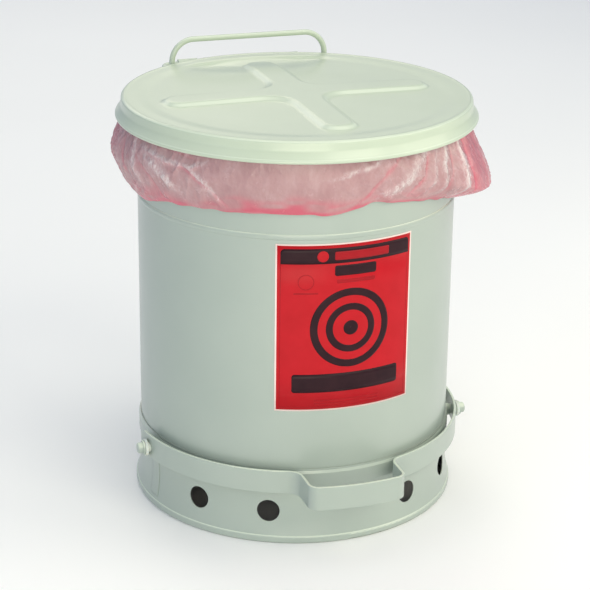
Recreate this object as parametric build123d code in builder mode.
from build123d import *
import math
import os

# Foot-operated steel waste can with a hinged lid and a thin liner bag.
# Millimetres. Origin: centre of the can's footprint on the floor. Front is -Y, up is +Z.

# ---- driving dimensions -------------------------------------------------------------------
SHEET = 0.8                   # wall of the can, base and lid
CAN_R = 150.8                 # outside radius of the can wall
CAN_FOOT_Z = 60.0             # lower edge of the can wall
RIM_Z = 385.7                 # centre of the rolled rim
RIM_ROLL_R = 3.5
BEAD_Z = 300.0                # stiffening bead above the label
FLOOR_Z = 75.0                # top of the raised bottom

BASE_TOP_Z = 75.0
BASE_COLLAR_R = 151.7
BASE_BEAD_R = 152.9
HEM_R = 156.4                 # outside of the base hem
HEM_SIZE = 8.0
VENT_R = 10.7
VENT_Z = 31.5
VENT_ANGLES = (-54, -27, 27, 54, 126, 153, 207, 234)

LID_TOP_Z = 391.7
LID_R = 165.0                 # outside of the lid's top corner
LID_WAIST = (165.9, 383.5)    # radius and height where the lid's skirt starts to flare
LID_HEM_R = 170.7
LID_HEM_Z = 374.8             # centre of the lid's rolled hem
LID_HEM_ROLL_R = 2.0
RIB_REACH = 129.0             # raised cross on the lid
RIB_HALF_WIDTH = 17.0
RIB_HEIGHT = 3.5

BAND_R = 160.0                # middle of the pedal strip where it goes round the can
TREAD_R = 194.5               # middle of the pedal strip where it is stepped out as a tread
TREAD_HALF_WIDTH = 45.4
BAND_THICK = 2.5
BAND_Z = 54.0
BAND_HEIGHT = 23.0
TREAD_CORNER_R = 9.0
TREAD_FOOT_R = 14.0           # where the strip leaves its circle and turns out to the tread
BAND_LEFT_END_Y = -21.0       # the strip stops just behind its left pivot
BAND_REAR_END_X = -12.0       # and goes on round the right side to here, behind the can
BAND_CORNER_R = 5.0
PIVOT_Y = -35.0
PIVOT_Z = 64.0
PIVOT_BOLT_R = 3.0

WIRE_R = 2.8                  # bail wire
BAIL_HALF_WIDTH = 80.0
BAIL_LEG_Y = 153.7
BAIL_TOP_Z = 412.5
HINGE_EYE_R = 5.0
HINGE_Y = TREAD_R + BAND_THICK / 2 - HINGE_EYE_R   # as far behind the axis as the tread is in front
HINGE_Z = 378.5

LID_TRAVEL = 58.0             # degrees
LIFT_ARM = 24.0               # hinge to lift pin
ROD_R = 2.5
ROD_X_PIN = 11.0
EAR_X = 5.2
EAR_THICK = 2.0

LABEL_HALF_ANGLE = 25.3
LABEL_Z = 133.0
LABEL_HEIGHT = 161.0

BAG_THICK = 0.5
BAG_BULGE_R = 180.0
BAG_CUFF_Z = 303.0
BAG_CUFF_HALF_ANGLE = 126.0

# ---- worked out from them -----------------------------------------------------------------
RIM_R = CAN_R - SHEET + RIM_ROLL_R
half_travel = math.radians(LID_TRAVEL / 2)
PIN_Y = HINGE_Y - LIFT_ARM * math.cos(half_travel)
PIN_Z = HINGE_Z - LIFT_ARM * math.sin(half_travel)
LIFT = 2 * LIFT_ARM * math.sin(half_travel)
PIN_SWAY = LIFT_ARM * (1 - math.cos(half_travel))
ROD_Y = PIN_Y - PIN_SWAY / 2
PEDAL_ARM = ROD_Y - PIVOT_Y
PEDAL_TRAVEL = math.degrees(math.asin(LIFT / PEDAL_ARM))
EYE_SWAY = PEDAL_ARM * (1 - math.cos(math.radians(PEDAL_TRAVEL)))
print(f"lift {LIFT:.2f} mm, pedal travel {PEDAL_TRAVEL:.3f} degrees")
print(f"hinge y {HINGE_Y:.2f}, pin y {PIN_Y:.2f} z {PIN_Z:.2f}, rod y {ROD_Y:.2f}")

os.makedirs("parts", exist_ok=True)


def outward(angle):
    """Unit vector out from the can's axis, angle degrees round from the front."""
    a = math.radians(angle)
    return Vector(math.sin(a), -math.cos(a), 0)


def facing(angle, radius, z):
    """Plane that faces outward at that angle, radius and height."""
    out = outward(angle)
    return Plane(origin=out * radius + Vector(0, 0, z), x_dir=Vector(-out.Y, out.X, 0), z_dir=out)


def ring_sector(inner, outer, middle, half):
    """Face of a ring's sector, middle degrees round from the front."""
    with BuildSketch() as sector:
        with BuildLine():
            CenterArc((0, 0), outer, middle - 90 - half, 2 * half)
            CenterArc((0, 0), inner, middle - 90 - half, 2 * half)
            for end in (middle - half, middle + half):
                Line(outward(end) * inner, outward(end) * outer)
        make_face()
    return sector.sketch


def ring(radius, z, wire_radius):
    """Wire ring round the can's axis."""
    with Locations((0, 0, z)):
        Torus(radius, wire_radius)


def rolled_edge(radius, z, roll_radius, gap_angle):
    """Sheet curled round a wire, open at gap_angle."""
    middle = roll_radius - SHEET / 2
    gap = math.radians(gap_angle)
    with Locations((radius, z)):
        Circle(roll_radius)
        Circle(roll_radius - SHEET, mode=Mode.SUBTRACT)
    with Locations(Location((radius + middle * math.cos(gap), z + middle * math.sin(gap)), gap_angle)):
        Rectangle(1.4 * SHEET, SHEET, mode=Mode.SUBTRACT)


def x_hole(radius, y, z):
    """Hole along X right through the part being built."""
    with Locations((0, y, z)):
        Cylinder(radius, 500, rotation=(0, 90, 0), mode=Mode.SUBTRACT)


def x_disc(radius, start, end, y, z):
    """Disc with its axis along X, from x = start to x = end."""
    with Locations(((start + end) / 2, y, z)):
        Cylinder(radius, abs(end - start), rotation=(0, 90, 0))


# ---- can ----------------------------------------------------------------------------------
RIVET_SPOTS = [(angle, z) for angle in (-10.5, 10.5) for z in (320.0, 350.0)]
RIVET_R = 2.0

with BuildPart() as can_body:
    with BuildSketch(Plane.XZ):
        with Locations((CAN_R - SHEET / 2, (CAN_FOOT_Z + RIM_Z) / 2)):
            Rectangle(SHEET, RIM_Z - CAN_FOOT_Z)
        with Locations((CAN_R - 0.2, BEAD_Z)):
            Ellipse(1.2, 2.6)
        with Locations((CAN_R - 0.2 - SHEET, BEAD_Z)):
            Ellipse(1.2, 2.6, mode=Mode.SUBTRACT)
        rolled_edge(RIM_R, RIM_Z, RIM_ROLL_R, 235)
    revolve(axis=Axis.Z)
    x_hole(PIVOT_BOLT_R, PIVOT_Y, PIVOT_Z)
    for angle, z in RIVET_SPOTS:
        with BuildSketch(facing(180 + angle, 0, z)):
            Circle(RIVET_R)
        extrude(amount=CAN_R + 5, mode=Mode.SUBTRACT)
can_body.part.label = "can_body"
export_step(can_body.part, "parts/can_body.step")

with BuildPart() as rim_wire:
    ring(RIM_R, RIM_Z, RIM_ROLL_R - SHEET - 0.05)
rim_wire.part.label = "rim_wire"
export_step(rim_wire.part, "parts/rim_wire.step")

PAN_R = CAN_R - SHEET - 0.05
with BuildPart() as raised_bottom:
    with BuildSketch(Plane.XZ):
        with Locations((PAN_R / 2, FLOOR_Z - SHEET / 2)):
            Rectangle(PAN_R, SHEET)
        with Locations((PAN_R - SHEET / 2, (FLOOR_Z + CAN_FOOT_Z) / 2)):
            Rectangle(SHEET, FLOOR_Z - CAN_FOOT_Z)
    revolve(axis=Axis.Z)
    x_hole(PIVOT_BOLT_R, PIVOT_Y, PIVOT_Z)
raised_bottom.part.label = "raised_bottom"
export_step(raised_bottom.part, "parts/raised_bottom.step")


def base_edge(inset):
    """One side of the base's section, inset from its outside, from the top down."""
    bead = [(BASE_COLLAR_R, BASE_TOP_Z), (BASE_COLLAR_R, 73), (BASE_BEAD_R, 70.5), (BASE_BEAD_R, 57.5)]
    flare = [(151.9, 54.0), (151.6, 42.0), (151.9, 28.0), (153.2, 17.0), (155.5, 6.8)]
    top = Polyline([(r - inset, z) for r, z in bead + flare[:1]])
    foot = Spline([(r - inset, z) for r, z in flare])
    return top @ 0, foot @ 1


with BuildPart() as base_skirt:
    with BuildSketch(Plane.XZ):
        with BuildLine():
            outer_top, outer_foot = base_edge(0)
            inner_top, inner_foot = base_edge(SHEET)
            Line(outer_top, inner_top)
            Line(outer_foot, inner_foot)
        make_face()
        with Locations((HEM_R - HEM_SIZE / 2, HEM_SIZE / 2)):
            RectangleRounded(HEM_SIZE, HEM_SIZE, 2.5)
            RectangleRounded(HEM_SIZE - 2 * SHEET, HEM_SIZE - 2 * SHEET, 1.7, mode=Mode.SUBTRACT)
        with Locations((HEM_R - HEM_SIZE + SHEET / 2, HEM_SIZE - 2.5)):
            Rectangle(2 * SHEET, SHEET, mode=Mode.SUBTRACT)
    revolve(axis=Axis.Z)
    x_hole(PIVOT_BOLT_R, PIVOT_Y, PIVOT_Z)
    for angle in VENT_ANGLES:
        with BuildSketch(facing(angle, 0, VENT_Z)):
            Circle(VENT_R)
        extrude(amount=HEM_R + 5, mode=Mode.SUBTRACT)
base_skirt.part.label = "base_skirt"
export_step(base_skirt.part, "parts/base_skirt.step")

with BuildPart() as base_hem_wire:
    ring(HEM_R - HEM_SIZE / 2, HEM_SIZE / 2, HEM_SIZE / 2 - SHEET - 0.1)
base_hem_wire.part.label = "base_hem_wire"
export_step(base_hem_wire.part, "parts/base_hem_wire.step")

with BuildPart() as label_film:
    with BuildSketch(Plane.XY.offset(LABEL_Z)):
        add(ring_sector(CAN_R + 0.02, CAN_R + 0.25, 0, LABEL_HALF_ANGLE))
    extrude(amount=LABEL_HEIGHT)
label_film.part.label = "label_film"
export_step(label_film.part, "parts/label_film.step")

# ---- hinge bracket and rod guide on the back of the can -----------------------------------
BRACKET_R = CAN_R + 2.2
BRACKET_Z = 308.0
BRACKET_HEIGHT = 55.0
BRACKET_EAR_X = 34.0
BRACKET_EAR_THICK = 2.5

with BuildPart() as hinge_bracket:
    with BuildSketch(Plane.XY.offset(BRACKET_Z)):
        add(ring_sector(CAN_R + 0.02, BRACKET_R, 180, 14.0))
    extrude(amount=BRACKET_HEIGHT)
    for side in (-1, 1):
        with BuildSketch(Plane.YZ.offset(side * (BRACKET_EAR_X + BRACKET_EAR_THICK / 2))):
            with BuildLine():
                Polyline(
                    (144, 314),
                    (144, 362),
                    (166, 363),
                    (HINGE_Y - 4.2, HINGE_Z + 2.7),
                    (HINGE_Y, HINGE_Z),
                    (HINGE_Y + 4.4, HINGE_Z - 2.3),
                    (160, 318),
                    (153, 314),
                    close=True,
                )
            make_face()
            with Locations((HINGE_Y, HINGE_Z)):
                Circle(HINGE_EYE_R)
        extrude(amount=BRACKET_EAR_THICK / 2, both=True)
    Cylinder(CAN_R + 0.02, 900, mode=Mode.SUBTRACT)
    x_hole(WIRE_R + 0.08, HINGE_Y, HINGE_Z)
    for angle, z in RIVET_SPOTS:
        with BuildSketch(facing(180 + angle, 0, z)):
            Circle(RIVET_R)
        extrude(amount=BRACKET_R + 5, mode=Mode.SUBTRACT)
hinge_bracket.part.label = "hinge_bracket"
export_step(hinge_bracket.part, "parts/hinge_bracket.step")

with BuildPart() as bracket_rivets:
    for angle, z in RIVET_SPOTS:
        with BuildSketch(facing(180 + angle, CAN_R - SHEET, z)):
            Circle(RIVET_R)
        extrude(amount=BRACKET_R - CAN_R + SHEET)
        with BuildSketch(facing(180 + angle, BRACKET_R, z)):
            Circle(2 * RIVET_R)
        extrude(amount=1.8, taper=30)
bracket_rivets.part.label = "bracket_rivets"
export_step(bracket_rivets.part, "parts/bracket_rivets.step")

GUIDE_Z = 225.0
with BuildPart() as rod_guide:
    with Locations((0, CAN_R + 0.8, GUIDE_Z - 8)):
        Box(20, 2.4, 18)
    with Locations((0, (CAN_R + ROD_Y + 7) / 2, GUIDE_Z)):
        Box(20, ROD_Y + 7 - CAN_R, 2)
    with Locations((0, ROD_Y, GUIDE_Z)):
        Cylinder(ROD_R + 0.4, 10, mode=Mode.SUBTRACT)
    Cylinder(CAN_R + 0.02, 900, mode=Mode.SUBTRACT)
rod_guide.part.label = "rod_guide"
export_step(rod_guide.part, "parts/rod_guide.step")

# ---- pedal pivots, one each side ----------------------------------------------------------
SPACER_END = 152.2
SLEEVE = (152.5, 161.5)
FLANGE_START = 159.0
WASHER = (161.8, 163.6)
HEAD_END = 168.7
NUT = (138.4, 143.2)

for side, sign in (("left", -1), ("right", 1)):
    with BuildPart() as pivot_bolt:
        x_disc(PIVOT_BOLT_R, sign * (NUT[0] - 1.5), sign * WASHER[1], PIVOT_Y, PIVOT_Z)
        x_disc(5.3, sign * WASHER[1], sign * HEAD_END, PIVOT_Y, PIVOT_Z)
        rim = pivot_bolt.edges().filter_by(GeomType.CIRCLE).sort_by(Axis.X)[-1 if sign > 0 else 0]
        fillet(rim, 2.0)
    pivot_bolt.part.label = f"pivot_bolt_{side}"
    export_step(pivot_bolt.part, f"parts/pivot_bolt_{side}.step")

    with BuildPart() as pivot_washer:
        x_disc(6.8, sign * WASHER[0], sign * WASHER[1], PIVOT_Y, PIVOT_Z)
        x_hole(PIVOT_BOLT_R + 0.05, PIVOT_Y, PIVOT_Z)
    pivot_washer.part.label = f"pivot_washer_{side}"
    export_step(pivot_washer.part, f"parts/pivot_washer_{side}.step")

    with BuildPart() as pivot_spacer:
        x_disc(6.0, sign * 144, sign * SPACER_END, PIVOT_Y, PIVOT_Z)
        x_hole(PIVOT_BOLT_R + 0.05, PIVOT_Y, PIVOT_Z)
        Cylinder(BASE_BEAD_R, 300, mode=Mode.SUBTRACT)
    pivot_spacer.part.label = f"pivot_spacer_{side}"
    export_step(pivot_spacer.part, f"parts/pivot_spacer_{side}.step")

    with BuildPart() as pivot_nut:
        with BuildSketch(Plane.YZ.offset(sign * (NUT[0] + NUT[1]) / 2)):
            with Locations((PIVOT_Y, PIVOT_Z)):
                RegularPolygon(5.5, 6, major_radius=False)
                Circle(PIVOT_BOLT_R + 0.05, mode=Mode.SUBTRACT)
        extrude(amount=(NUT[1] - NUT[0]) / 2, both=True)
    pivot_nut.part.label = f"pivot_nut_{side}"
    export_step(pivot_nut.part, f"parts/pivot_nut_{side}.step")

    with BuildPart() as pivot_bushing:
        x_disc(5.0, sign * SLEEVE[0], sign * SLEEVE[1], PIVOT_Y, PIVOT_Z)
        x_disc(8.0, sign * FLANGE_START, sign * SLEEVE[1], PIVOT_Y, PIVOT_Z)
        x_hole(PIVOT_BOLT_R + 0.08, PIVOT_Y, PIVOT_Z)
    pivot_bushing.part.label = f"pivot_bushing_{side}"
    export_step(pivot_bushing.part, f"parts/pivot_bushing_{side}.step")


# ---- pedal --------------------------------------------------------------------------------
def band_outline(grow):
    """Plan of the pedal strip's outside or inside: a hoop with the tread stepped out in front."""
    half = TREAD_HALF_WIDTH + grow
    tread_angle = math.degrees(math.asin(half / (TREAD_R + grow)))
    hoop_angle = math.degrees(math.asin(half / (BAND_R + grow)))
    with BuildSketch() as plan:
        with BuildLine():
            tread = CenterArc((0, 0), TREAD_R + grow, -90 - tread_angle, 2 * tread_angle)
            hoop = CenterArc((0, 0), BAND_R + grow, -90 + hoop_angle, 360 - 2 * hoop_angle)
            Line(tread @ 1, hoop @ 0)
            Line(hoop @ 1, tread @ 0)
        make_face()
        corners = plan.vertices().sort_by(Axis.Y)
        fillet(corners[:2], TREAD_CORNER_R + grow)
        step_feet = plan.vertices().filter_by_position(Axis.Y, -160, -145)
        fillet(step_feet, TREAD_FOOT_R - grow)
    return plan.sketch


def beyond_strip_end(end, way):
    """What is cut away beyond the strip's rounded end, way 1 or -1 along the sketch's first axis."""
    middle_z = BAND_Z + BAND_HEIGHT / 2
    with BuildSketch() as beyond:
        with Locations((end + way * (110 - BAND_CORNER_R), middle_z)):
            Rectangle(220, BAND_HEIGHT + 4)
        with Locations((end - way * 20, middle_z)):
            RectangleRounded(40, BAND_HEIGHT, BAND_CORNER_R, mode=Mode.SUBTRACT)
    return beyond.sketch


with BuildPart() as pedal_band:
    with BuildSketch(Plane.XY.offset(BAND_Z)):
        add(band_outline(BAND_THICK / 2))
        add(band_outline(-BAND_THICK / 2), mode=Mode.SUBTRACT)
    extrude(amount=BAND_HEIGHT)
    long_edges = pedal_band.faces().filter_by(Axis.Z).edges()
    fillet(long_edges, 0.6)
    x_hole(5.02, PIVOT_Y, PIVOT_Z)
    with BuildSketch(Plane.YZ.offset(-200)):
        add(beyond_strip_end(BAND_LEFT_END_Y, 1))
    extrude(amount=120, mode=Mode.SUBTRACT)
    with BuildSketch(Plane.XZ.offset(-150)):
        add(beyond_strip_end(BAND_REAR_END_X, -1))
    extrude(amount=50, both=True, mode=Mode.SUBTRACT)
pedal_band.part.label = "pedal_band"
export_step(pedal_band.part, "parts/pedal_band.step")

with BuildPart() as pedal_link_tab:
    with BuildSketch(Plane.YZ.offset(EAR_X)):
        with BuildLine():
            Polyline(
                (150, PIVOT_Z - 8),
                (ROD_Y - 1, PIVOT_Z - 8),
                (ROD_Y + 6, PIVOT_Z - 4),
                (ROD_Y + 6, PIVOT_Z + 4),
                (ROD_Y - 1, PIVOT_Z + 8),
                (150, PIVOT_Z + 8),
                close=True,
            )
        make_face()
        with Locations((ROD_Y + EYE_SWAY / 2, PIVOT_Z)):
            Circle(ROD_R + EYE_SWAY / 2 + 0.3, mode=Mode.SUBTRACT)
    extrude(amount=EAR_THICK)
    Cylinder(BAND_R + BAND_THICK / 2, 300, mode=Mode.SUBTRACT)
pedal_link_tab.part.label = "pedal_link_tab"
export_step(pedal_link_tab.part, "parts/pedal_link_tab.step")

# ---- lift rod -----------------------------------------------------------------------------
with BuildPart() as lift_rod:
    with BuildLine():
        rod_path = FilletPolyline(
            (ROD_X_PIN, ROD_Y, PIN_Z),
            (0, ROD_Y, PIN_Z),
            (0, ROD_Y, PIVOT_Z),
            (ROD_X_PIN, ROD_Y, PIVOT_Z),
            radius=4.0,
        )
    with BuildSketch(Plane(origin=rod_path @ 0, z_dir=rod_path % 0)):
        Circle(ROD_R)
    sweep()
lift_rod.part.label = "lift_rod"
export_step(lift_rod.part, "parts/lift_rod.step")

with BuildPart() as rod_clips:
    for z in (PIN_Z, PIVOT_Z):
        x_disc(6.6, EAR_X + EAR_THICK + 0.6, EAR_X + EAR_THICK + 1.8, ROD_Y, z)
        x_hole(ROD_R, ROD_Y, z)
rod_clips.part.label = "rod_clips"
export_step(rod_clips.part, "parts/rod_clips.step")

# ---- lid ----------------------------------------------------------------------------------
LID_HEM_CENTRE_R = LID_HEM_R - LID_HEM_ROLL_R
SKIRT_FOOT = (LID_HEM_R - 0.9, LID_HEM_Z + 1.0)


def cross(inset):
    """Plan of the raised cross, inset from its outline."""
    width = 2 * (RIB_HALF_WIDTH - inset)
    length = 2 * (RIB_REACH - inset)
    reach = RIB_HALF_WIDTH + 1
    with BuildSketch() as plan:
        RectangleRounded(length, width, 0.45 * width)
        RectangleRounded(width, length, 0.45 * width)
        inner = [v for v in plan.vertices() if abs(v.X) < reach and abs(v.Y) < reach]
        fillet(inner, 20 + inset)
    return plan.sketch


with BuildPart() as lid_shell:
    with BuildSketch(Plane.XZ):
        with BuildLine():
            Polyline(
                (0, LID_TOP_Z),
                (LID_R - 1.6, LID_TOP_Z),
                (LID_R - 0.4, LID_TOP_Z - 0.5),
                (LID_R, LID_TOP_Z - 1.8),
                LID_WAIST,
                SKIRT_FOOT,
                (SKIRT_FOOT[0] - SHEET, SKIRT_FOOT[1] - 0.25),
                (LID_WAIST[0] - SHEET, LID_WAIST[1] - 0.3),
                (LID_R - SHEET, LID_TOP_Z - SHEET - 1.0),
                (LID_R - SHEET - 1.0, LID_TOP_Z - SHEET),
                (0, LID_TOP_Z - SHEET),
                close=True,
            )
        make_face()
        rolled_edge(LID_HEM_CENTRE_R, LID_HEM_Z, LID_HEM_ROLL_R, 150)
    revolve(axis=Axis.Z)
    with BuildSketch(Plane.XY.offset(LID_TOP_Z)):
        add(cross(0))
    extrude(amount=RIB_HEIGHT, taper=35)
    with BuildSketch(Plane.XY.offset(LID_TOP_Z - SHEET)):
        add(cross(SHEET))
    extrude(amount=RIB_HEIGHT, taper=35, mode=Mode.SUBTRACT)
    with Locations((0, LID_HEM_R, LID_TOP_Z - SHEET - 15)):
        Box(20, 30, 30, mode=Mode.SUBTRACT)
lid_shell.part.label = "lid_shell"
export_step(lid_shell.part, "parts/lid_shell.step")

with BuildPart() as lid_hem_wire:
    ring(LID_HEM_CENTRE_R, LID_HEM_Z, LID_HEM_ROLL_R - SHEET - 0.05)
    with Locations((0, LID_HEM_R, LID_HEM_Z)):
        Box(20, 30, 10, mode=Mode.SUBTRACT)
lid_hem_wire.part.label = "lid_hem_wire"
export_step(lid_hem_wire.part, "parts/lid_hem_wire.step")

with BuildPart() as lid_envelope:
    with BuildSketch(Plane.XZ):
        with BuildLine():
            Polyline(
                (0, LID_TOP_Z - SHEET),
                (LID_R - SHEET, LID_TOP_Z - SHEET),
                (LID_R + 0.05, LID_TOP_Z),
                (LID_WAIST[0] + 0.02, LID_WAIST[1]),
                (SKIRT_FOOT[0] + 0.02, SKIRT_FOOT[1]),
                (LID_HEM_R + 0.02, LID_HEM_Z),
                (0, LID_HEM_Z),
                close=True,
            )
        make_face()
    revolve(axis=Axis.Z)

LEAF_X = (44.0, 64.0)
for side, sign in (("left", -1), ("right", 1)):
    with BuildPart() as hinge_leaf:
        with Locations((sign * sum(LEAF_X) / 2, HINGE_Y - 22, HINGE_Z)):
            Box(LEAF_X[1] - LEAF_X[0], 44, 2)
        x_disc(HINGE_EYE_R, sign * LEAF_X[0], sign * LEAF_X[1], HINGE_Y, HINGE_Z)
        x_hole(WIRE_R, HINGE_Y, HINGE_Z)
        add(lid_envelope.part, mode=Mode.SUBTRACT)
    hinge_leaf.part.label = f"hinge_leaf_{side}"
    export_step(hinge_leaf.part, f"parts/hinge_leaf_{side}.step")

BAIL_PIN_X = 29.0
with BuildPart() as lid_bail:
    with BuildLine():
        bail_path = FilletPolyline(
            (BAIL_PIN_X, HINGE_Y, HINGE_Z),
            (BAIL_HALF_WIDTH, HINGE_Y, HINGE_Z),
            (BAIL_HALF_WIDTH, BAIL_LEG_Y, HINGE_Z),
            (BAIL_HALF_WIDTH, BAIL_LEG_Y, BAIL_TOP_Z),
            (-BAIL_HALF_WIDTH, BAIL_LEG_Y, BAIL_TOP_Z),
            (-BAIL_HALF_WIDTH, BAIL_LEG_Y, HINGE_Z),
            (-BAIL_HALF_WIDTH, HINGE_Y, HINGE_Z),
            (-BAIL_PIN_X, HINGE_Y, HINGE_Z),
            radius=(9, 9, 22, 22, 9, 9),
        )
    with BuildSketch(Plane(origin=bail_path @ 0, z_dir=bail_path % 0)):
        Circle(WIRE_R)
    sweep()
lid_bail.part.label = "lid_bail"
export_step(lid_bail.part, "parts/lid_bail.step")

with BuildPart() as hinge_clips:
    for sign in (-1, 1):
        x_disc(4.8, sign * 31.6, sign * 32.8, HINGE_Y, HINGE_Z)
    x_hole(WIRE_R, HINGE_Y, HINGE_Z)
hinge_clips.part.label = "hinge_clips"
export_step(hinge_clips.part, "parts/hinge_clips.step")

EAR_EYE_R = ROD_R + PIN_SWAY / 2 + 0.35
with BuildPart() as lift_ear:
    with BuildSketch(Plane.YZ.offset(EAR_X)):
        with BuildLine():
            Polyline(
                (159.6, LID_TOP_Z - SHEET),
                (163.4, LID_TOP_Z - SHEET),
                (PIN_Y + EAR_EYE_R + 2.2, PIN_Z + 1.5),
                (PIN_Y - EAR_EYE_R - 2.2, PIN_Z + 1.5),
                (159.6, 381),
                close=True,
            )
        make_face()
        with Locations((PIN_Y, PIN_Z)):
            Circle(EAR_EYE_R + 2.5)
            Circle(EAR_EYE_R, mode=Mode.SUBTRACT)
    extrude(amount=EAR_THICK)
lift_ear.part.label = "lift_ear"
export_step(lift_ear.part, "parts/lift_ear.step")

# ---- liner bag ----------------------------------------------------------------------------
# Inside the can, over the rolled rim and down outside it, bulging below the lid.
FOLD_R = RIM_ROLL_R + 0.3
BAG_IN_R = RIM_R - FOLD_R - BAG_THICK
FOLD_OUT_R = RIM_R + FOLD_R
BAG_FLOOR_Z = FLOOR_Z + 0.4

with BuildPart() as liner_bag:
    with BuildSketch(Plane.XZ):
        with Locations((BAG_IN_R / 2 + BAG_THICK / 2, BAG_FLOOR_Z + BAG_THICK / 2)):
            Rectangle(BAG_IN_R + BAG_THICK, BAG_THICK)
        with Locations((BAG_IN_R + BAG_THICK / 2, (BAG_FLOOR_Z + RIM_Z) / 2)):
            Rectangle(BAG_THICK, RIM_Z - BAG_FLOOR_Z)
        with Locations((RIM_R, RIM_Z)):
            Circle(FOLD_R + BAG_THICK)
            Circle(FOLD_R, mode=Mode.SUBTRACT)
        with Locations((RIM_R, RIM_Z - 5)):
            Rectangle(2 * FOLD_R, 10, mode=Mode.SUBTRACT)
        with Locations((FOLD_OUT_R + BAG_THICK / 2, RIM_Z - 6)):
            Rectangle(BAG_THICK, 12)
    revolve(axis=Axis.Z)
    cuff_start = outward(-BAG_CUFF_HALF_ANGLE)
    with BuildSketch(Plane(origin=(0, 0, 0), x_dir=cuff_start, z_dir=(cuff_start.Y, -cuff_start.X, 0))):
        with BuildLine():
            outer = ThreePointArc(
                (FOLD_OUT_R + BAG_THICK, RIM_Z - 10),
                (BAG_BULGE_R, (RIM_Z + BAG_CUFF_Z) / 2 - 5),
                (CAN_R + 5, BAG_CUFF_Z),
            )
            middle = outer.arc_center
            inner = ThreePointArc(
                [p + (middle - p).normalized() * BAG_THICK for p in (outer @ 0, outer @ 0.5, outer @ 1)]
            )
            Line(outer @ 0, inner @ 0)
            Line(outer @ 1, inner @ 1)
        make_face()
    revolve(axis=Axis.Z, revolution_arc=2 * BAG_CUFF_HALF_ANGLE)
liner_bag.part.label = "liner_bag"
export_step(liner_bag.part, "parts/liner_bag.step")
